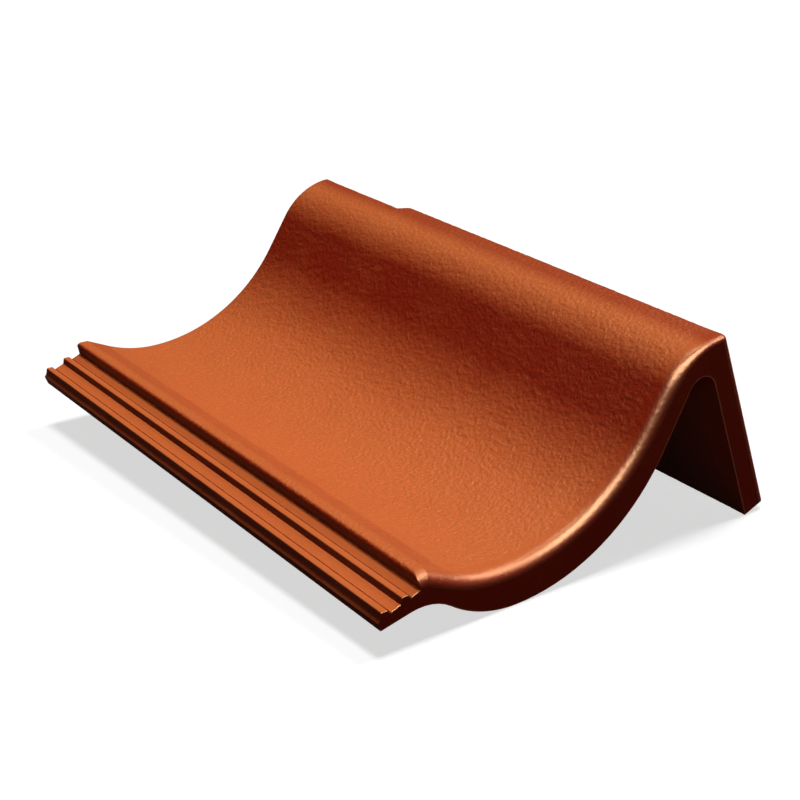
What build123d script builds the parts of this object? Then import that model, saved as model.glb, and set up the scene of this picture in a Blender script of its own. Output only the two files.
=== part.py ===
from build123d import *
import math
import os

# One right-hand verge roof tile, moulded and fired as a single piece of clay.
# The section is drawn in its own plane: x from the side lock (left) to the turned-down verge
# flange (right), z up from the line that the pan lies on. The tile runs from its tail edge at
# y = 0 to its head edge. Lengths are in millimetres and angles in degrees.

# Overall
LENGTH = 420.0                # tail edge to head edge

# Upper surface: tangent arcs and lines either way from the pan's lowest line
PAN_LOW_X = 88.5
PAN_WALL = 26.6               # thickness at the lowest line
PAN_LIP_RADIUS = 95.0         # pan curve towards the side lock
PAN_LIP_ANGLE = 24.5
PAN_ROLL_RADIUS = 123.0       # pan curve towards the roll
ROLL_ANGLE = 57.9             # steepest slope of the roll
ROLL_STRAIGHT = 27.5
ROLL_RADIUS = 50.0            # round top of the roll
CREST_ANGLE = 8.0             # slope left where the roll ends
CREST_FLAT = 12.8             # from there to the flange's edge
CREST_EDGE_RADIUS = 5.0       # also rounds the flange's tail edge

# Underside
UNDER_LOW_X = 96.0            # line that the pan lies on
ROLL_WALL = 21.9              # thickness at the foot of the roll's straight slope
UNDER_ROLL_ANGLE = 62.0
UNDER_CREST_RADIUS = 11.5     # inside corner below the crest
UNDER_LOCK_RADIUS = 81.2      # underside of the pan towards the side lock
UNDER_LOCK_ROUND = 34.8       # round into the flat underside of the lock

# Verge flange
FLANGE_ANGLE = 21.5           # lean from the vertical, foot outwards
FLANGE_WALL = 18.3

# Side lock: steps that the next tile's edge lies over
LOCK_RIBS = 2
LOCK_CORNER_Z = 16.4          # lower outer corner
LOCK_UNDER_ANGLE = 12.75
LOCK_LEDGE = 2.2              # ledge along the outer edge
LOCK_LEDGE_RISE = 5.6         # above the lower outer corner
LOCK_START_X = -0.8           # foot of the outer rib
LOCK_START_RISE = 7.5
RIB_PITCH = 13.8
RIB_RISE = 4.75               # each rib and channel lies higher than the last
RIB_HEIGHT = 4.3
RIB_LEAN = 0.9
RIB_TOP_WIDTH = 4.2
RIB_EDGE_RADIUS = 0.8
CHANNEL_START = 7.3           # from the rib's foot to the channel's lowest line
CHANNEL_DEPTH = 2.0           # below the rib's top

# Lip between the side lock and the pan
LIP_FLAT = 8.2                # width of its flat top, before its edges are rounded
LIP_UNDERCUT = 1.9
LIP_TOP_RADIUS = 2.6          # round from the flat top into the pan
LIP_EDGE_RADIUS = 2.6         # round over the undercut side

# Tail edge
BULLNOSE_RADIUS = 8.5         # round over the tail edge of pan and roll

# Headlap: the flange is set in where the next tile up lies over this one
HEADLAP = 95.0
HEADLAP_SET_IN = 6.5
HEADLAP_SHOULDER = 7.0        # length of the sloping step

# Hanging nibs under the head
NIB_CENTRES_X = (66.0, 130.0)
NIB_WIDTH = 32.0
NIB_LENGTH = 22.0
NIB_FROM_HEAD = 8.0
NIB_DROP = 15.0               # below the line that the pan lies on
NIB_ROOT = 20.0               # how far the nib is drawn up from that line, inside the wall
NIB_DRAFT_ANGLE = 8.0
NIB_EDGE_RADIUS = 2.0

RIGHT, UP, LEFT = 0, 90, 180  # headings in the section plane


def heading(degrees):
    """Unit direction in the section plane, turned from right towards up."""
    return Vector(math.cos(math.radians(degrees)), math.sin(math.radians(degrees)))


def crossing(point_a, degrees_a, point_b, degrees_b):
    """Where two lines of the section plane meet."""
    a, b = heading(degrees_a), heading(degrees_b)
    gap = point_b - point_a
    return point_a + a * ((gap.X * b.Y - gap.Y * b.X) / (a.X * b.Y - a.Y * b.X))


def round_corners(outline, points, radius):
    """Fillet the corners of a flat outline that lie at the points."""
    corners = [outline.vertices().sort_by_distance(point)[0] for point in points]
    return fillet(corners, radius)


def upper_roll():
    """Upper surface from the pan's lowest line over the roll to the end of its round top."""
    rise = JernArc((PAN_LOW_X, PAN_WALL), heading(RIGHT), PAN_ROLL_RADIUS, ROLL_ANGLE)
    slope = Line(rise @ 1, rise @ 1 + heading(ROLL_ANGLE) * ROLL_STRAIGHT)
    crest = JernArc(slope @ 1, heading(ROLL_ANGLE), ROLL_RADIUS, CREST_ANGLE - ROLL_ANGLE)
    return [rise, slope, crest]


def under_roll():
    """Underside from the line that the pan lies on up to the straight slope below the roll."""
    slope_point = roll[0] @ 1 + heading(ROLL_ANGLE - UP) * ROLL_WALL
    low = Vector(UNDER_LOW_X, 0)
    corner = crossing(low, RIGHT, slope_point, UNDER_ROLL_ANGLE)
    radius = (corner.X - low.X) / math.tan(math.radians(UNDER_ROLL_ANGLE / 2))
    return JernArc(low, heading(RIGHT), radius, UNDER_ROLL_ANGLE)


def under_pan(lock_corner):
    """Underside from the line that the pan lies on out to the flat underside of the lock."""
    centre = Vector(UNDER_LOW_X, UNDER_LOCK_RADIUS)
    nearest = crossing(lock_corner, LOCK_UNDER_ANGLE, centre, LOCK_UNDER_ANGLE + UP)
    half_chord = math.sqrt(UNDER_LOCK_RADIUS**2 - (nearest - centre).length ** 2)
    end = nearest - heading(LOCK_UNDER_ANGLE) * half_chord
    turn = math.degrees(math.atan2(centre.X - end.X, centre.Y - end.Y))
    return JernArc((UNDER_LOW_X, 0), heading(LEFT), UNDER_LOCK_RADIUS, -turn)


def rib_foot(rib):
    """Foot of a rib's outer side, counted from the outermost rib."""
    return Vector(LOCK_START_X + rib * RIB_PITCH,
                  LOCK_CORNER_Z + LOCK_START_RISE + rib * RIB_RISE)


def lock_ribs():
    """Corners of the side lock, from the lip's foot out to the ledge along its outer edge."""
    corners = []
    for rib in reversed(range(LOCK_RIBS)):
        foot = rib_foot(rib)
        corners += [
            foot + Vector(CHANNEL_START, RIB_HEIGHT - CHANNEL_DEPTH),
            foot + Vector(RIB_LEAN + RIB_TOP_WIDTH, RIB_HEIGHT),
            foot + Vector(RIB_LEAN, RIB_HEIGHT),
            foot,
        ]
    return corners + [Vector(-LOCK_LEDGE, LOCK_CORNER_Z + LOCK_LEDGE_RISE)]


def flange_corners(set_in):
    """Crest edge, outer foot and inner foot of the flange, its outer face moved in by set_in."""
    down = FLANGE_ANGLE - UP
    inner_start = crest_edge + heading(down - UP) * FLANGE_WALL
    foot_in = crossing(inner_start, down, Vector(0, 0), RIGHT)
    foot_out = foot_in + heading(FLANGE_ANGLE) * (FLANGE_WALL - set_in)
    return [crossing(crest_edge, CREST_ANGLE, foot_out, down), foot_out, foot_in]


def section(set_in):
    """Closed section of the tile, with its lip and crest edges still sharp."""
    lock_corner = Vector(0, LOCK_CORNER_Z)
    right, left = under_roll(), under_pan(lock_corner)
    flange = flange_corners(set_in)
    under_crest = crossing(right @ 1, UNDER_ROLL_ANGLE, flange[-1], FLANGE_ANGLE - UP)
    lock_side = Polyline(pan @ 1, lip_top, lip_edge, lip_foot, *lock_ribs(), lock_corner, left @ 1)
    flange_side = Polyline(roll[-1] @ 1, *flange, under_crest, right @ 1)
    outline = make_face(roll + [pan, right, left] + lock_side.edges() + flange_side.edges())
    outline = round_corners(outline, [left @ 1], UNDER_LOCK_ROUND)
    outline = round_corners(outline, [under_crest], UNDER_CREST_RADIUS)
    outline = round_corners(outline, [lip_top], LIP_TOP_RADIUS)
    rib_tops = [rib_foot(rib) + Vector(RIB_LEAN, RIB_HEIGHT) for rib in range(LOCK_RIBS)]
    return round_corners(outline, rib_tops, RIB_EDGE_RADIUS)


def across(outline, y):
    """Stand a flat outline up across the tile, y from the tail."""
    return Plane.XZ.offset(-y) * outline


def body():
    """The tile without its nibs: full section, sloping shoulder, then the set-in headlap."""
    full = section(0)
    narrow = section(HEADLAP_SET_IN)
    lap = LENGTH - HEADLAP
    shoulder = lap - HEADLAP_SHOULDER
    solid = extrude(across(full, 0), -shoulder)
    solid += loft([across(full, shoulder), across(narrow, lap)], ruled=True)
    return solid + extrude(across(narrow, lap), -HEADLAP)


def edges_at(solid, points, y):
    """The solid's edges nearest to points of the section plane moved to y from the tail."""
    spots = [Vector(point.X, y, point.Y) for point in points]
    return [solid.edges().sort_by_distance(spot)[0] for spot in spots]


def rounded_tail(solid):
    """Round the tail's upper edge from the lip over the roll to the flange."""
    upper = [(lip_top + lip_edge) / 2, (pan @ 1 + lip_top) / 2, pan @ 0.5]
    upper += [line @ 0.5 for line in roll] + [(roll[-1] @ 1 + crest_edge) / 2]
    return fillet(edges_at(solid, upper, 0), BULLNOSE_RADIUS)


def rounded_crest(solid):
    """Round the crest's long edge, which runs on down the tail edge of the flange."""
    lap = LENGTH - HEADLAP
    narrow = flange_corners(HEADLAP_SET_IN)[0]
    edges = edges_at(solid, [crest_edge], lap / 2)
    edges += edges_at(solid, [(crest_edge + narrow) / 2], lap - HEADLAP_SHOULDER / 2)
    edges += edges_at(solid, [narrow], LENGTH - HEADLAP / 2)
    return fillet(edges, CREST_EDGE_RADIUS)


def lip_trim():
    """What the round over the lip's undercut side takes off, the whole length of the tile."""
    sharp = section(0)
    corner = sharp - round_corners(sharp, [lip_edge], LIP_EDGE_RADIUS)
    return extrude(across(corner, 0), -LENGTH)


def nib(centre_x):
    """A hanging nib, tapered downwards, that starts inside the wall of the pan."""
    foot = Rectangle(NIB_WIDTH, NIB_LENGTH)
    foot = fillet(foot.vertices(), NIB_EDGE_RADIUS)
    block = extrude(foot, NIB_DROP + NIB_ROOT, taper=-NIB_DRAFT_ANGLE)
    centre_y = LENGTH - NIB_FROM_HEAD - NIB_LENGTH / 2
    return Pos(centre_x, centre_y, -NIB_DROP) * block


def resting(solid):
    """Turn the tile onto its nibs and its tail edge, and put the origin under its middle."""
    nib_tail_side = LENGTH - NIB_FROM_HEAD - NIB_LENGTH
    solid = Rot(math.degrees(math.atan2(NIB_DROP, nib_tail_side)), 0, 0) * solid
    box = solid.bounding_box()
    middle = box.center()
    return Pos(-middle.X, -middle.Y, -box.min.Z) * solid


# Construction lines that several features share
roll = upper_roll()
crest_edge = roll[-1] @ 1 + heading(CREST_ANGLE) * CREST_FLAT
pan = JernArc((PAN_LOW_X, PAN_WALL), heading(LEFT), PAN_LIP_RADIUS, -PAN_LIP_ANGLE)
lip_foot = rib_foot(LOCK_RIBS)
lip_top = crossing(pan @ 1, LEFT - PAN_LIP_ANGLE, lip_foot + Vector(LIP_FLAT - LIP_UNDERCUT, 0), UP)
lip_edge = lip_top - Vector(LIP_FLAT, 0)

roof_tile = rounded_crest(rounded_tail(body())) - lip_trim()
for centre_x in NIB_CENTRES_X:
    roof_tile += nib(centre_x)
roof_tile = resting(roof_tile)

os.makedirs("parts", exist_ok=True)
export_step(roof_tile, "parts/roof_tile.step")
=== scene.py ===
import bpy
import bmesh
import math
from mathutils import Matrix, Vector, noise


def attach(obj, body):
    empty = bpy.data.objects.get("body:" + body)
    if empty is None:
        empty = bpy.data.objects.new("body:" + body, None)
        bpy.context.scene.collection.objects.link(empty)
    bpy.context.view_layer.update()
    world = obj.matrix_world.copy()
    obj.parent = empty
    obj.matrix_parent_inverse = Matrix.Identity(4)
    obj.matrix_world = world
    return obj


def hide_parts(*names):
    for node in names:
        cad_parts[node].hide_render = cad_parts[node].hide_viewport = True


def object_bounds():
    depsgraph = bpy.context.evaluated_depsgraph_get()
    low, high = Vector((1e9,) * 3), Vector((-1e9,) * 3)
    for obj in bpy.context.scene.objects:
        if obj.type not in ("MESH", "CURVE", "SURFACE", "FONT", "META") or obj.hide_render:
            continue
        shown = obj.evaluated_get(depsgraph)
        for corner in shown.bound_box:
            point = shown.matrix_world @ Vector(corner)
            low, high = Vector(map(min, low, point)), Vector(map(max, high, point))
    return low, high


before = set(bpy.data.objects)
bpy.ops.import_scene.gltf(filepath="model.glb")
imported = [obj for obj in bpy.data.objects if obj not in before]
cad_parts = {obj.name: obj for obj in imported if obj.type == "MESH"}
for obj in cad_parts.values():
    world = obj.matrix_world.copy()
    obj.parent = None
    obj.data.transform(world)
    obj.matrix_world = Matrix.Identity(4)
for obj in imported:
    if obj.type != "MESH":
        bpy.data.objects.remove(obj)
CAD_BOX = [list(corner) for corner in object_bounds()]

# Sizes of the tile in millimetres and degrees, in the plane of its section: x from the side lock
# to the flange, z up from the line that the pan lies on, and y from the tail edge to the head.
LENGTH = 420.0
PAN_LOW_X = 88.5
PAN_WALL = 26.6
PAN_LIP_RADIUS = 95.0
PAN_LIP_ANGLE = 24.5
PAN_ROLL_RADIUS = 123.0
ROLL_ANGLE = 57.9
ROLL_STRAIGHT = 27.5
ROLL_RADIUS = 50.0
CREST_ANGLE = 8.0
CREST_FLAT = 12.8
CREST_EDGE_RADIUS = 5.0
UNDER_LOW_X = 96.0
ROLL_WALL = 21.9
UNDER_ROLL_ANGLE = 62.0
UNDER_CREST_RADIUS = 11.5
UNDER_LOCK_RADIUS = 81.2
UNDER_LOCK_ROUND = 34.8
FLANGE_ANGLE = 21.5
FLANGE_WALL = 18.3
LOCK_RIBS = 2
LOCK_CORNER_Z = 16.4
LOCK_UNDER_ANGLE = 12.75
LOCK_LEDGE = 2.2
LOCK_LEDGE_RISE = 5.6
LOCK_START_X = -0.8
LOCK_START_RISE = 7.5
RIB_PITCH = 13.8
RIB_RISE = 4.75
RIB_HEIGHT = 4.3
RIB_LEAN = 0.9
RIB_TOP_WIDTH = 4.2
RIB_EDGE_RADIUS = 0.8
CHANNEL_START = 7.3
CHANNEL_DEPTH = 2.0
SCORE_WIDTH = 0.8
SCORE_DEPTH = 0.6
LIP_FLAT = 8.2
LIP_UNDERCUT = 1.9
LIP_TOP_RADIUS = 2.6
LIP_EDGE_RADIUS = 2.6
LEAST_LIP_RADIUS = 0.3
BULLNOSE_RADIUS = 8.5
CREST_NOSE_RADIUS = 3.8
NOSE_NARROWS_FROM_X = 217.0
NOSE_NARROW_AT_X = 244.0
HEADLAP = 95.0
HEADLAP_SET_IN = 6.5
HEADLAP_SHOULDER = 7.0
NIB_CENTRES_X = (66.0, 130.0)
NIB_WIDTH = 32.0
NIB_LENGTH = 22.0
NIB_FROM_HEAD = 8.0
NIB_DROP = 15.0
NIB_ROOT = 20.0
NIB_DRAFT_ANGLE = 8.0
NIB_EDGE_RADIUS = 2.0

# How finely the skin is divided, and the angle past which an edge is shaded as a sharp one
FACE_STEP = 1.7
FLANGE_STEP = 1.5 * FACE_STEP
ROUND_STEPS = 9
NIB_CORNER_STEPS = 4
SHARP_ANGLE = 32.0

# How far the plain edges are worn round, and how far the tail's end face is set back so that the
# narrow round at the crest stays inside the solid's box
TAIL_SOFTNESS = 0.6
HEAD_SOFTNESS = 1.6
TAIL_TRIM = 0.25

RIGHT, UP, LEFT = 0, 90, 180
MM = 0.001


# Plane geometry of the section

def heading(degrees):
    """Unit direction in the section plane, turned from right towards up."""
    return Vector((math.cos(math.radians(degrees)), math.sin(math.radians(degrees))))


def crossing(point_a, degrees_a, point_b, degrees_b):
    """Where two lines of the section plane meet."""
    a, b = heading(degrees_a), heading(degrees_b)
    gap = point_b - point_a
    return point_a + a * ((gap.x * b.y - gap.y * b.x) / (a.x * b.y - a.y * b.x))


def parts_of(length, step):
    """How many equal parts a run of this length is cut into."""
    return max(1, round(length / step))


def arc_length(radius, degrees):
    return radius * math.radians(abs(degrees))


def arc(start, degrees, radius, turn, count):
    """Points of an arc that leaves start at a heading, without start; a left turn is positive."""
    side = math.copysign(UP, turn)
    centre = start + heading(degrees + side) * radius
    return [centre - heading(degrees + turn * k / count + side) * radius
            for k in range(1, count + 1)]


def straight(start, end, count):
    """Points of a line, without its start."""
    return [start.lerp(end, k / count) for k in range(1, count + 1)]


def arc_about(centre, first, last, count):
    """Points of the shorter arc about a centre, both ends included."""
    radius = (first - centre).length
    begin = math.degrees(math.atan2(first.y - centre.y, first.x - centre.x))
    sweep = math.degrees((last - centre).angle_signed(first - centre))
    return [centre + heading(begin + sweep * k / count) * radius for k in range(count + 1)]


def rounded(before, corner, after, radius, count):
    """Points of the arc that rounds the corner of two straight lines, both ends included."""
    back = (before - corner).normalized()
    onward = (after - corner).normalized()
    half = back.angle(onward) / 2
    reach = radius / math.tan(half)
    centre = corner + (back + onward).normalized() * (radius / math.sin(half))
    return arc_about(centre, corner + back * reach, corner + onward * reach, count)


def share_of(value, first, last):
    """How far a value lies from the first to the last, from 0 to 1."""
    return min(max((value - first) / (last - first), 0), 1)


def worn(radius, distance):
    """How far a surface lies inside its sharp edge, at a distance from a rounded end."""
    if distance >= radius:
        return 0.0
    return radius - math.sqrt(radius**2 - (radius - distance)**2)


# The section, run anticlockwise from the pan's lowest line: pan, lip, side lock, underside,
# flange and roll. Each run ends where the next begins.

def rib_foot(rib):
    """Foot of a rib's outer side, counted from the outermost rib."""
    return Vector((LOCK_START_X + rib * RIB_PITCH,
                   LOCK_CORNER_Z + LOCK_START_RISE + rib * RIB_RISE))


def pan_and_lip(inset):
    """Upper surface from the pan's lowest line over the lip's edge, moved in by inset, and the
    lip's undercut side down to its foot."""
    low = Vector((PAN_LOW_X, PAN_WALL - inset))
    count = parts_of(arc_length(PAN_LIP_RADIUS, PAN_LIP_ANGLE), FACE_STEP)
    pan = arc(low, LEFT, PAN_LIP_RADIUS + inset, -PAN_LIP_ANGLE, count)
    foot = rib_foot(LOCK_RIBS)
    pan_end = Vector((PAN_LOW_X, PAN_WALL + PAN_LIP_RADIUS)) \
        + heading(-UP - PAN_LIP_ANGLE) * PAN_LIP_RADIUS
    flat = crossing(pan_end, LEFT - PAN_LIP_ANGLE, foot + Vector((LIP_FLAT - LIP_UNDERCUT, 0)), UP).y
    side = math.degrees(math.atan2(flat - foot.y, -LIP_UNDERCUT))
    flat_point = Vector((0, flat - inset))
    top = crossing(pan[-1], LEFT - PAN_LIP_ANGLE, flat_point, RIGHT)
    edge = crossing(foot, side, flat_point, RIGHT)
    top_radius = max(LIP_TOP_RADIUS - inset, LEAST_LIP_RADIUS)
    edge_radius = max(LIP_EDGE_RADIUS - inset, LEAST_LIP_RADIUS)
    top_round = rounded(pan[-1], top, edge, top_radius, count=4)
    edge_round = rounded(top, edge, foot, edge_radius, count=5)
    slope = straight(pan[-1], top_round[0], parts_of((top - pan_end).length, FACE_STEP))
    level = straight(top_round[-1], edge_round[0], count=3)
    upper = pan + slope + top_round[1:] + level + edge_round[1:]
    return upper, straight(edge_round[-1], foot, count=4)


def side_lock():
    """From the lip's foot out over the ribs, with a scored line along each channel, to the lower
    outer corner."""
    points = []
    before = rib_foot(LOCK_RIBS)
    half_score = Vector((SCORE_WIDTH / 2, 0))
    for rib in reversed(range(LOCK_RIBS)):
        foot = rib_foot(rib)
        channel = foot + Vector((CHANNEL_START, RIB_HEIGHT - CHANNEL_DEPTH))
        inner = foot + Vector((RIB_LEAN + RIB_TOP_WIDTH, RIB_HEIGHT))
        outer = foot + Vector((RIB_LEAN, RIB_HEIGHT))
        points += straight(before, channel + half_score, count=4)
        points += [channel - Vector((0, SCORE_DEPTH)), channel - half_score]
        points += straight(channel - half_score, inner, count=2)
        top_round = rounded(inner, outer, foot, RIB_EDGE_RADIUS, count=3)
        points += straight(inner, top_round[0], count=3) + top_round[1:]
        points += straight(top_round[-1], foot, count=3)
        before = foot
    ledge = Vector((-LOCK_LEDGE, LOCK_CORNER_Z + LOCK_LEDGE_RISE))
    corner = Vector((0, LOCK_CORNER_Z))
    return points + straight(before, ledge, count=2) + straight(ledge, corner, count=3)


def underside():
    """From the lock's lower corner under the pan and roll, round inside the crest."""
    corner = Vector((0, LOCK_CORNER_Z))
    low = Vector((UNDER_LOW_X, 0))
    centre = low + Vector((0, UNDER_LOCK_RADIUS))
    start = corner + heading(LOCK_UNDER_ANGLE - UP) * UNDER_LOCK_ROUND
    middle = crossing(start, LOCK_UNDER_ANGLE, centre, LOCK_UNDER_ANGLE + UP)
    reach = UNDER_LOCK_RADIUS + UNDER_LOCK_ROUND
    hub = middle - heading(LOCK_UNDER_ANGLE) * math.sqrt(reach**2 - (middle - centre).length**2)
    on_line = hub + heading(LOCK_UNDER_ANGLE + UP) * UNDER_LOCK_ROUND
    on_pan = centre + (hub - centre).normalized() * UNDER_LOCK_RADIUS
    points = straight(corner, on_line, count=5)
    points += arc_about(hub, on_line, on_pan, count=6)[1:]
    points += arc_about(centre, on_pan, low, count=14)[1:]
    slope_point = roll_foot() + heading(ROLL_ANGLE - UP) * ROLL_WALL
    turn_corner = crossing(low, RIGHT, slope_point, UNDER_ROLL_ANGLE)
    radius = (turn_corner.x - low.x) / math.tan(math.radians(UNDER_ROLL_ANGLE / 2))
    points += arc(low, RIGHT, radius, UNDER_ROLL_ANGLE, count=18)
    foot_in = flange_foot(0)[0]
    under_crest = crossing(points[-1], UNDER_ROLL_ANGLE, foot_in, FLANGE_ANGLE - UP)
    bend = rounded(points[-1], under_crest, foot_in, UNDER_CREST_RADIUS, count=10)
    points += straight(points[-1], bend[0], count=8) + bend[1:]
    return points + straight(bend[-1], foot_in, count=18)


def roll_foot():
    """Where the roll's straight slope begins."""
    return Vector((PAN_LOW_X, PAN_WALL + PAN_ROLL_RADIUS)) + heading(ROLL_ANGLE - UP) * PAN_ROLL_RADIUS


def crest_edge():
    """Sharp edge where the crest's flat meets the flange."""
    slope_end = roll_foot() + heading(ROLL_ANGLE) * ROLL_STRAIGHT
    centre = slope_end + heading(ROLL_ANGLE - UP) * ROLL_RADIUS
    return centre + heading(CREST_ANGLE + UP) * ROLL_RADIUS + heading(CREST_ANGLE) * CREST_FLAT


def flange_foot(set_in):
    """Inner and outer corner of the flange's foot."""
    down = FLANGE_ANGLE - UP
    inner_start = crest_edge() + heading(down - UP) * FLANGE_WALL
    foot_in = crossing(inner_start, down, Vector((0, 0)), RIGHT)
    return foot_in, foot_in + heading(FLANGE_ANGLE) * (FLANGE_WALL - set_in)


def roll(inset):
    """Upper surface from the pan's lowest line to the end of the roll's round top."""
    low = Vector((PAN_LOW_X, PAN_WALL - inset))
    count = parts_of(arc_length(PAN_ROLL_RADIUS, ROLL_ANGLE), FACE_STEP)
    rise = arc(low, RIGHT, PAN_ROLL_RADIUS + inset, ROLL_ANGLE, count)
    slope_end = rise[-1] + heading(ROLL_ANGLE) * ROLL_STRAIGHT
    slope = straight(rise[-1], slope_end, parts_of(ROLL_STRAIGHT, FACE_STEP))
    turn = CREST_ANGLE - ROLL_ANGLE
    count = parts_of(arc_length(ROLL_RADIUS, turn), FACE_STEP)
    return [low] + rise + slope + arc(slope_end, ROLL_ANGLE, ROLL_RADIUS - inset, turn, count)


def flange_and_roll(foot_out, inset, edge_radius):
    """From the flange's outer foot up to the crest and back over the roll to the pan."""
    back = roll(inset)[::-1]
    corner = crossing(back[0], CREST_ANGLE, foot_out, FLANGE_ANGLE - UP)
    edge = rounded(foot_out, corner, back[0], edge_radius, count=6)
    height = (crest_edge() - flange_foot(0)[1]).length
    outer = straight(foot_out, edge[0], parts_of(height, FLANGE_STEP))
    level = straight(edge[-1], back[0], parts_of(CREST_FLAT, FACE_STEP))
    return outer, edge[1:] + level + back[1:]


def moved_in(points, amount):
    """Move a run into the clay by an amount; its first point stays where it is."""
    moved = [points[0]]
    for before, point, after in zip(points, points[1:], points[2:]):
        first = (point - before).normalized().orthogonal()
        second = (after - point).normalized().orthogonal()
        moved.append(point + (first + second) * (amount / (1 + first.dot(second))))
    last = (points[-1] - points[-2]).normalized().orthogonal()
    return moved + [points[-1] + last * amount]


def narrowed(points, crest_points):
    """Upper surface whose tail edge is rounded less and less from the roll's slope to its crest."""
    return [point.lerp(crest_point, share_of(point.x, NOSE_NARROWS_FROM_X, NOSE_NARROW_AT_X))
            for point, crest_point in zip(points, crest_points)]


def section(inset, crest_inset, set_in, edge_radius, softness):
    """Runs of the closed section: their surface's name and their points."""
    upper, side = pan_and_lip(inset)
    foot_in, foot_out = flange_foot(set_in)
    lock = side_lock()
    under = underside() + straight(foot_in, foot_out, count=4)
    plain = moved_in([side[-1]] + lock + under, softness)[1:]
    outer, crest_top = flange_and_roll(plain[-1], crest_inset, edge_radius)
    top = narrowed(flange_and_roll(plain[-1], inset, edge_radius)[1], crest_top)
    return [("face", upper), ("lock", side + plain[:len(lock)]), ("back", plain[len(lock):]),
            ("face", outer), ("face", top)]


# The skin: the section at many places along the tile, closed at both ends

def set_in_at(y):
    """How far the flange's outer face lies in: at the headlap, and round its two end edges."""
    lap = LENGTH - HEADLAP
    lapped = HEADLAP_SET_IN * share_of(y, lap - HEADLAP_SHOULDER, lap)
    return lapped + worn(CREST_EDGE_RADIUS, y) + worn(HEAD_SOFTNESS, LENGTH - y)


def section_at(y):
    head_inset = worn(HEAD_SOFTNESS, LENGTH - y)
    inset = worn(BULLNOSE_RADIUS, y) + head_inset
    crest_inset = worn(CREST_NOSE_RADIUS, y) + head_inset
    edge_radius = max(CREST_EDGE_RADIUS - worn(CREST_EDGE_RADIUS, y), TAIL_SOFTNESS)
    softness = worn(TAIL_SOFTNESS, y) + worn(TAIL_SOFTNESS, LENGTH - y)
    return section(inset, crest_inset, set_in_at(y), edge_radius, softness)


def stations():
    """Places along the tile: close together where the ends are rounded, then even."""
    turns = [math.radians(90 * k / ROUND_STEPS) for k in range(ROUND_STEPS + 1)]
    tail = [BULLNOSE_RADIUS * (1 - math.cos(turn)) for turn in turns]
    head = [LENGTH - HEAD_SOFTNESS * (1 - math.cos(turn)) for turn in turns[::2]]
    lap = LENGTH - HEADLAP
    stops = [tail[-1], lap - HEADLAP_SHOULDER, lap, min(head)]
    middle = []
    for low, high in zip(stops, stops[1:]):
        count = parts_of(high - low, FACE_STEP)
        middle += [low + (high - low) * k / count for k in range(1, count + 1)]
    return tail + middle[:-1] + sorted(head)


SURFACES = ["face", "lock", "back", "end"]


def skin():
    """Mesh of the tile without its nibs, in its own millimetres."""
    rings = []
    for y in stations():
        runs = section_at(y)
        rings.append([(point.x, max(y, TAIL_TRIM), point.y)
                      for _, points in runs for point in points])
    names = [name for name, points in runs for _ in points]
    size = len(names)
    faces = []
    surface = []
    for row in range(len(rings) - 1):
        for k in range(size):
            a, b = row * size + k, row * size + (k + 1) % size
            faces.append((a, a + size, b + size, b))
            surface.append(SURFACES.index(names[(k + 1) % size]))
    last = (len(rings) - 1) * size
    faces += [tuple(range(size)), tuple(range(last, last + size))[::-1]]
    surface += [SURFACES.index("end")] * 2
    mesh = bpy.data.meshes.new("roof_tile_skin")
    mesh.from_pydata([point for ring in rings for point in ring], [], faces)
    mesh.polygons.foreach_set("material_index", surface)
    return mesh


def nib(centre_x):
    """Mesh of one hanging nib, tapered downwards, starting inside the wall of the pan."""
    centre_y = LENGTH - NIB_FROM_HEAD - NIB_LENGTH / 2
    spread = (NIB_DROP + NIB_ROOT) * math.tan(math.radians(NIB_DRAFT_ANGLE))
    rings = []
    for z, grow in ((-NIB_DROP, 0), (NIB_ROOT, spread)):
        for side_x, side_y, begin in ((1, 1, 0), (-1, 1, 90), (-1, -1, 180), (1, -1, 270)):
            for k in range(NIB_CORNER_STEPS + 1):
                turn = heading(begin + 90 * k / NIB_CORNER_STEPS) * (NIB_EDGE_RADIUS + grow)
                rings.append((centre_x + side_x * (NIB_WIDTH / 2 - NIB_EDGE_RADIUS) + turn.x,
                              centre_y + side_y * (NIB_LENGTH / 2 - NIB_EDGE_RADIUS) + turn.y, z))
    size = len(rings) // 2
    faces = [(k, (k + 1) % size, (k + 1) % size + size, k + size) for k in range(size)]
    faces += [tuple(range(size))[::-1], tuple(range(size, 2 * size))]
    mesh = bpy.data.meshes.new("nib")
    mesh.from_pydata(rings, [], faces)
    mesh.polygons.foreach_set("material_index", [SURFACES.index("back")] * len(faces))
    return mesh


def resting_place():
    """Matrix of the place where the tile lies, head end up on its nibs."""
    tilt = math.atan2(NIB_DROP, LENGTH - NIB_FROM_HEAD - NIB_LENGTH)
    low, high = CAD_BOX
    across = low[0] + LOCK_LEDGE * MM
    along = high[1] - LENGTH * math.cos(tilt) * MM
    return Matrix.Translation((across, along, 0)) @ Matrix.Rotation(tilt, 4, "X")


# Relief of the fired skin, in millimetres: always below the moulded surface. Each surface has its
# share of it, and it fades out towards the two ends and towards the lip.
PEBBLE_DEPTH = 0.42
PEBBLE_SIZE = 3.4
WRINKLE_DEPTH = 0.14
WRINKLE_SIZE = 1.9
WRINKLE_OFFSET = Vector((31.0, 17.0, 5.0))
RELIEF = {"face": 1.0, "lock": 0.0, "back": 0.5, "end": 0.0}
RELIEF_START = 5.0
RELIEF_FULL = 14.0
LIP_SMOOTH_TO_X = 36.0
LIP_ROUGH_FROM_X = 46.0

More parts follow.
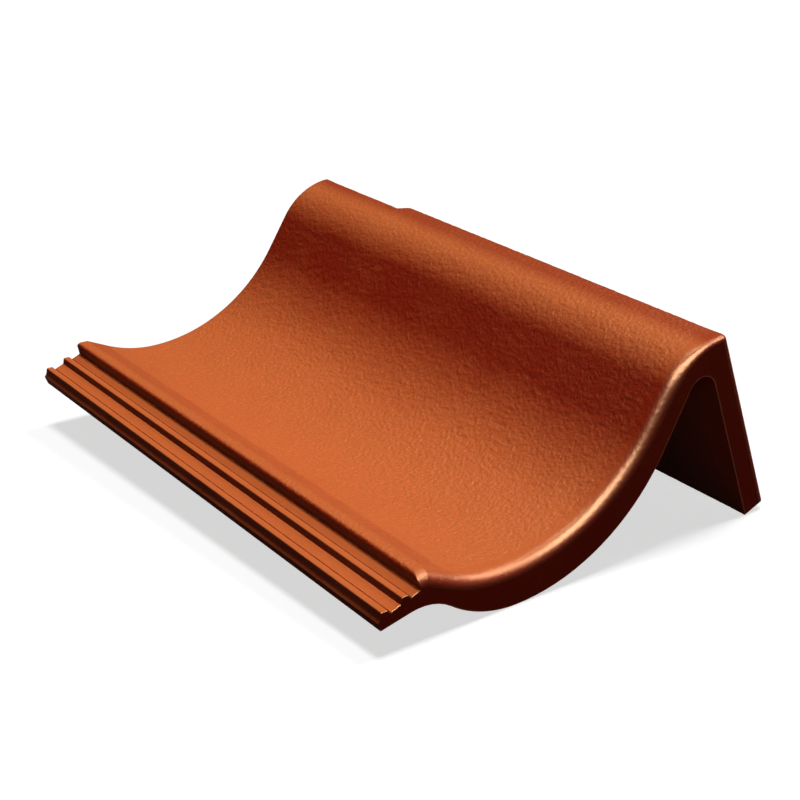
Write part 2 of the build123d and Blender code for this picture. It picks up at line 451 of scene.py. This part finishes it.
# Painted light and shade in the colour: the lit orange where the surface is level, painted shade
# where it is steep, painted shade on the crest and on the strip beside the lip, and how far from the
# tail edge the polish of its round reaches
LEVELNESS_FULLY_SHADED = 0.52
LEVELNESS_FULLY_LIT = 0.90
# The crest's band is darkened in the colour: painted shade.
CREST_SHADE_START = 232.0
CREST_SHADE_WIDTH = 11.0
CREST_PAINTED_SHADE = 0.66
# The strip beside the lip is darkened in the colour: painted shade, fading out towards the tail's
# round.
LIP_STRIP_FROM_X = 35.0
LIP_STRIP_TO_X = 50.0
LIP_STRIP_EDGE = 3.0
LIP_STRIP_SHADE = 0.28
NOSE_POLISH = 14.0
NOSE_POLISH_FULL = 4.0


def relief(point):
    """Depth of the pebbled skin at a point, in millimetres."""
    pebble = 0.5 - 0.5 * noise.noise(point / PEBBLE_SIZE)
    wrinkle = 0.5 - 0.5 * noise.noise(point / WRINKLE_SIZE + WRINKLE_OFFSET)
    return PEBBLE_DEPTH * pebble + WRINKLE_DEPTH * wrinkle


def press_relief(mesh):
    """Press the relief into the mesh along its normals."""
    strength = [0.0] * len(mesh.vertices)
    for polygon in mesh.polygons:
        amount = RELIEF[SURFACES[polygon.material_index]]
        for index in polygon.vertices:
            strength[index] = max(strength[index], amount)
    normals = [vertex.normal.copy() for vertex in mesh.vertices]
    for vertex, normal, amount in zip(mesh.vertices, normals, strength):
        from_end = min(vertex.co.y, LENGTH - vertex.co.y)
        fade = share_of(from_end, RELIEF_START, RELIEF_FULL) \
            * share_of(vertex.co.x, LIP_SMOOTH_TO_X, LIP_ROUGH_FROM_X)
        vertex.co -= normal * (relief(vertex.co) * amount * fade)


def painted_shade_bands(x, y):
    """Share of painted shade on the crest and on the strip beside the lip."""
    crest = share_of(x, CREST_SHADE_START, CREST_SHADE_START + CREST_SHADE_WIDTH)
    strip = min(share_of(x, LIP_STRIP_FROM_X - LIP_STRIP_EDGE, LIP_STRIP_FROM_X),
                share_of(x, LIP_STRIP_TO_X, LIP_STRIP_TO_X - LIP_STRIP_EDGE))
    return CREST_PAINTED_SHADE * crest + LIP_STRIP_SHADE * strip * share_of(y, NOSE_POLISH_FULL, NOSE_POLISH)


def paint_light_and_shade(mesh):
    """Note at each corner how much painted light its colour gets, with painted shade where it is
    steep, and how far its edge is polished.
    """
    painted_light, polish = [], []
    for loop, normal in zip(mesh.loops, mesh.corner_normals):
        place = mesh.vertices[loop.vertex_index].co
        # Steep faces get less of the lit orange: painted shade by how level the surface is.
        level = share_of(normal.vector.z, LEVELNESS_FULLY_SHADED, LEVELNESS_FULLY_LIT)
        painted_light.append(level * (1 - painted_shade_bands(place.x, place.y)))
        polish.append(share_of(place.y, NOSE_POLISH, NOSE_POLISH_FULL))
    for name, values in (("painted_light", painted_light), ("polish", polish)):
        mesh.attributes.new(name, "FLOAT", "CORNER").data.foreach_set("value", values)


def object_from(mesh, name, materials):
    for surface in SURFACES:
        mesh.materials.append(materials[surface])
    piece = bpy.data.objects.new(name, mesh)
    bpy.context.scene.collection.objects.link(piece)
    return piece


def joined(body, others):
    """Mesh of the solid union of a body and other objects, which are then removed."""
    for other in others:
        union = body.modifiers.new(other.name, "BOOLEAN")
        union.operation = "UNION"
        union.solver = "EXACT"
        union.object = other
    graph = bpy.context.evaluated_depsgraph_get()
    mesh = bpy.data.meshes.new_from_object(body.evaluated_get(graph))
    body.modifiers.clear()
    for other in others:
        bpy.data.objects.remove(other)
    return mesh


def set_shading(mesh):
    """Smooth shading, broken at real edges and round the flat ends."""
    work = bmesh.new()
    work.from_mesh(mesh)
    end = SURFACES.index("end")
    bmesh.ops.triangulate(work, faces=[face for face in work.faces if len(face.verts) > 4])
    for face in work.faces:
        face.smooth = True
    for edge in work.edges:
        ends = sum(face.material_index == end for face in edge.link_faces)
        edge.smooth = ends != 1 and edge.calc_face_angle(0) < math.radians(SHARP_ANGLE)
    work.to_mesh(mesh)
    work.free()


def make_tile(materials):
    mesh = skin()
    press_relief(mesh)
    tile = object_from(mesh, "clay_tile", materials)
    nibs = [object_from(nib(centre_x), "nib", materials) for centre_x in NIB_CENTRES_X]
    tile.data = joined(tile, nibs)
    set_shading(tile.data)
    paint_light_and_shade(tile.data)
    tile.data.transform(resting_place() @ Matrix.Scale(MM, 4))
    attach(tile, "root")
    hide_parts("roof_tile")
    return tile


# Materials: colours, the lit orange and the dark red of painted shade among them, how strongly and
# finely the colour varies at random, the grain of the surface with its heights in metres, and how
# much smoother and flatter the polished nose is

# The lit orange, laid on level faces.
LIT_ORANGE = (0.70, 0.155, 0.037, 1)
# Dark red painted shade, laid on steep faces, the ends and the underside.
PAINTED_SHADE_RED = (0.33, 0.014, 0.0015, 1)
# A deeper red painted shadow for the lock's steep risers and undercut.
PAINTED_DEEP_SHADE_RED = (0.10, 0.005, 0.001, 1)
SHEEN_TINT = (1.0, 0.70, 0.42, 1)
MOTTLE = 0.30
MOTTLE_SCALE = 26
MOTTLE_DETAIL = 5
SPECKLE = 0.24
SPECKLE_SCALE = 700
SPECKLE_DETAIL = 2
MOULDED_ROUGHNESS = 0.43
MOULDED_SHEEN = 0.28
GRAIN_STRENGTH = 0.6
GRAIN_SCALE = 380
GRAIN_DETAIL = 3
FACE_GRAIN = 0.0024
FINE_GRAIN = 0.0004
END_GRAIN = 0.0003
LOCK_STREAKS = (2, 0.04, 2)
NOSE_SMOOTHER = 0.09
NOSE_FLATTER = 0.5


def noise_at(nodes, links, scale, detail, stretch=(1, 1, 1)):
    """Noise over the object, in features per metre, stretched along its axes."""
    place = nodes.new("ShaderNodeTexCoord")
    mapping = nodes.new("ShaderNodeMapping")
    mapping.inputs["Scale"].default_value = stretch
    texture = nodes.new("ShaderNodeTexNoise")
    texture.inputs["Scale"].default_value = scale
    texture.inputs["Detail"].default_value = detail
    links.new(place.outputs["Object"], mapping.inputs["Vector"])
    links.new(mapping.outputs["Vector"], texture.inputs["Vector"])
    return texture.outputs["Fac"]


def math_node(nodes, links, operation, *values, clamp=False):
    """Output of a math node that is fed with numbers or with other nodes' outputs."""
    node = nodes.new("ShaderNodeMath")
    node.operation = operation
    node.use_clamp = clamp
    for socket, value in zip(node.inputs, values):
        if isinstance(value, (int, float)):
            socket.default_value = value
        else:
            links.new(value, socket)
    return node.outputs[0]


def noted(nodes, name):
    """A value noted at each point of the mesh."""
    node = nodes.new("ShaderNodeAttribute")
    node.attribute_name = name
    return node.outputs["Fac"]


def swing(nodes, links, value, amount):
    """A value between 0 and 1, made to swing about 0 by half the amount each way."""
    return math_node(nodes, links, "MULTIPLY_ADD", value, amount, -amount / 2)


def less_when_polished(nodes, links, value, drop):
    """A value that falls by the drop where the clay is polished."""
    return math_node(nodes, links, "MULTIPLY_ADD", noted(nodes, "polish"), -drop, value)


def painted_shade_and_mottle(nodes, links, body):
    """Lit orange over a dark red painted shade, mixed by the painted light noted at each corner and
    mottled a little by the fire.
    """
    mottle = noise_at(nodes, links, MOTTLE_SCALE, MOTTLE_DETAIL)
    speckle = noise_at(nodes, links, SPECKLE_SCALE, SPECKLE_DETAIL)
    drift = swing(nodes, links, mottle, MOTTLE)
    grain = swing(nodes, links, speckle, SPECKLE)
    change = math_node(nodes, links, "ADD", drift, grain)
    amount = math_node(nodes, links, "ADD", noted(nodes, "painted_light"), change, clamp=True)
    mix = nodes.new("ShaderNodeMix")
    mix.data_type = "RGBA"
    links.new(amount, mix.inputs["Factor"])
    mix.inputs["A"].default_value = body
    mix.inputs["B"].default_value = LIT_ORANGE
    return mix.outputs["Result"]


def clay(name, body, roughness, sheen, grain_height, stretch=(1, 1, 1)):
    """Fired clay: lit orange over a dark red painted shade, a tinted sheen and a grain raised in the
    shading.
    """
    material = bpy.data.materials.new(name)
    material.use_nodes = True
    nodes, links = material.node_tree.nodes, material.node_tree.links
    shader = nodes["Principled BSDF"]
    smoother = less_when_polished(nodes, links, roughness, NOSE_SMOOTHER)
    links.new(smoother, shader.inputs["Roughness"])
    shader.inputs["Specular IOR Level"].default_value = sheen
    shader.inputs["Specular Tint"].default_value = SHEEN_TINT
    links.new(painted_shade_and_mottle(nodes, links, body), shader.inputs["Base Color"])
    bump = nodes.new("ShaderNodeBump")
    flatter = less_when_polished(nodes, links, GRAIN_STRENGTH, NOSE_FLATTER)
    links.new(flatter, bump.inputs["Strength"])
    bump.inputs["Distance"].default_value = grain_height
    grain = noise_at(nodes, links, GRAIN_SCALE, GRAIN_DETAIL, stretch)
    links.new(grain, bump.inputs["Height"])
    links.new(bump.outputs["Normal"], shader.inputs["Normal"])
    return material


def clay_materials():
    """One clay for each surface; the lock's painted shade is a deeper red, a painted shadow on its
    steep risers and undercut, with its grain drawn out lengthwise.
    """
    return {
        "face": clay("clay_face", PAINTED_SHADE_RED, MOULDED_ROUGHNESS, MOULDED_SHEEN, FACE_GRAIN),
        "lock": clay("clay_lock", PAINTED_DEEP_SHADE_RED, MOULDED_ROUGHNESS, MOULDED_SHEEN, FINE_GRAIN,
                     LOCK_STREAKS),
        "back": clay("clay_back", PAINTED_SHADE_RED, roughness=0.75, sheen=0.2, grain_height=FINE_GRAIN),
        "end": clay("clay_end", PAINTED_SHADE_RED, roughness=0.95, sheen=0.01, grain_height=END_GRAIN),
    }


# Floor, light and camera, in metres and degrees. The camera's place and turns are those of the
# tile's own resting place: turned from the tile's length, dipped below level, and rolled.

FLOOR_SIZE = 12
FLOOR_BOUNCE = (0.11, 0.07, 0.05, 1)
FLOOR_SEEN = (0.46, 0.46, 0.46, 1)
FLOOR_GLOW = 0.66
AIR = (1, 0.6, 0.4, 1)
AIR_STRENGTH = 0.04
BACKDROP = (1, 1, 1, 1)
BOX_DISTANCE = 1.6
BOX_COLOUR = (1, 0.92, 0.82)
LENS = 72.67
SENSOR_WIDTH = 36
CAMERA_PLACE = (-0.4382, -0.6091, 0.4832)
CAMERA_TURN = -36.21
CAMERA_DIP = 24.06
CAMERA_ROLL = -0.5939


def by_ray(nodes, links, unseen, seen):
    """Shader that is one thing for bounced light and another for what the camera sees."""
    ray = nodes.new("ShaderNodeLightPath")
    direct = math_node(nodes, links, "MAXIMUM",
                       ray.outputs["Is Camera Ray"], ray.outputs["Is Transmission Ray"])
    mix = nodes.new("ShaderNodeMixShader")
    for socket, output in zip(mix.inputs, (direct, unseen, seen)):
        links.new(output, socket)
    return mix.outputs[0]


def make_floor():
    """White floor that shows the tile's shadow, and bounces only a little warm light back."""
    bpy.ops.mesh.primitive_plane_add(size=FLOOR_SIZE)
    floor = bpy.context.object
    floor.name = "floor"
    material = bpy.data.materials.new("floor_white")
    material.use_nodes = True
    nodes, links = material.node_tree.nodes, material.node_tree.links
    nodes.clear()
    out = nodes.new("ShaderNodeOutputMaterial")
    plain = nodes.new("ShaderNodeBsdfDiffuse")
    plain.inputs["Color"].default_value = FLOOR_BOUNCE
    white = nodes.new("ShaderNodeBsdfDiffuse")
    white.inputs["Color"].default_value = FLOOR_SEEN
    glow = nodes.new("ShaderNodeEmission")
    glow.inputs["Strength"].default_value = FLOOR_GLOW
    shown = nodes.new("ShaderNodeAddShader")
    links.new(white.outputs[0], shown.inputs[0])
    links.new(glow.outputs[0], shown.inputs[1])
    surface = by_ray(nodes, links, plain.outputs[0], shown.outputs[0])
    links.new(surface, out.inputs["Surface"])
    floor.data.materials.append(material)


def make_world():
    """White backdrop that gives only a little warm light."""
    world = bpy.data.worlds.new("studio")
    bpy.context.scene.world = world
    world.use_nodes = True
    nodes, links = world.node_tree.nodes, world.node_tree.links
    nodes.clear()
    out = nodes.new("ShaderNodeOutputWorld")
    air = nodes.new("ShaderNodeBackground")
    air.inputs["Color"].default_value = AIR
    air.inputs["Strength"].default_value = AIR_STRENGTH
    white = nodes.new("ShaderNodeBackground")
    white.inputs["Color"].default_value = BACKDROP
    surface = by_ray(nodes, links, air.outputs[0], white.outputs[0])
    links.new(surface, out.inputs["Surface"])


def aim(lamp_object, direction):
    """Turn a lamp so that its light comes from a direction, and put it in the scene."""
    lamp_object.rotation_mode = "QUATERNION"
    lamp_object.rotation_quaternion = direction.to_track_quat("Z", "Y")
    bpy.context.scene.collection.objects.link(lamp_object)


def make_sun(name, direction, power, degrees):
    lamp = bpy.data.lights.new(name, "SUN")
    lamp.energy = power
    lamp.angle = math.radians(degrees)
    aim(bpy.data.objects.new(name, lamp), direction)


def make_softbox(name, direction, width, height, power):
    """A soft box that only shows as a reflection, so that it leaves the plain light level alone."""
    lamp = bpy.data.lights.new(name, "AREA")
    lamp.shape = "RECTANGLE"
    lamp.size = width
    lamp.size_y = height
    lamp.energy = power
    lamp.color = BOX_COLOUR
    box = bpy.data.objects.new(name, lamp)
    box.location = direction.normalized() * BOX_DISTANCE
    box.visible_diffuse = False
    aim(box, direction)


def make_lights():
    make_sun("key", Vector((0.50, -0.02, 0.86)), power=0.75, degrees=12)
    make_sun("top", Vector((0.02, 0.0, 1.0)), power=1.98, degrees=14)
    make_softbox("front_box", Vector((-0.08, -0.75, 0.66)), width=1.2, height=0.9, power=190)
    make_softbox("side_box", Vector((0.62, -0.50, 0.66)), width=0.9, height=0.8, power=58)


def turned(degrees, axis):
    return Matrix.Rotation(math.radians(degrees), 4, axis)


def make_camera():
    """Camera beyond the tail end, on the lock's side."""
    lens = bpy.data.cameras.new("camera")
    lens.lens = LENS
    lens.sensor_width = SENSOR_WIDTH
    camera = bpy.data.objects.new("camera", lens)
    view = Matrix.Translation(CAMERA_PLACE) @ turned(CAMERA_ROLL, "Y") @ turned(CAMERA_TURN, "Z")
    view = view @ turned(90 - CAMERA_DIP, "X")
    camera.matrix_world = resting_place() @ view
    bpy.context.scene.collection.objects.link(camera)
    bpy.context.scene.camera = camera


make_tile(clay_materials())
make_floor()
make_world()
make_lights()
make_camera()
bpy.context.scene.view_settings.view_transform = "Standard"
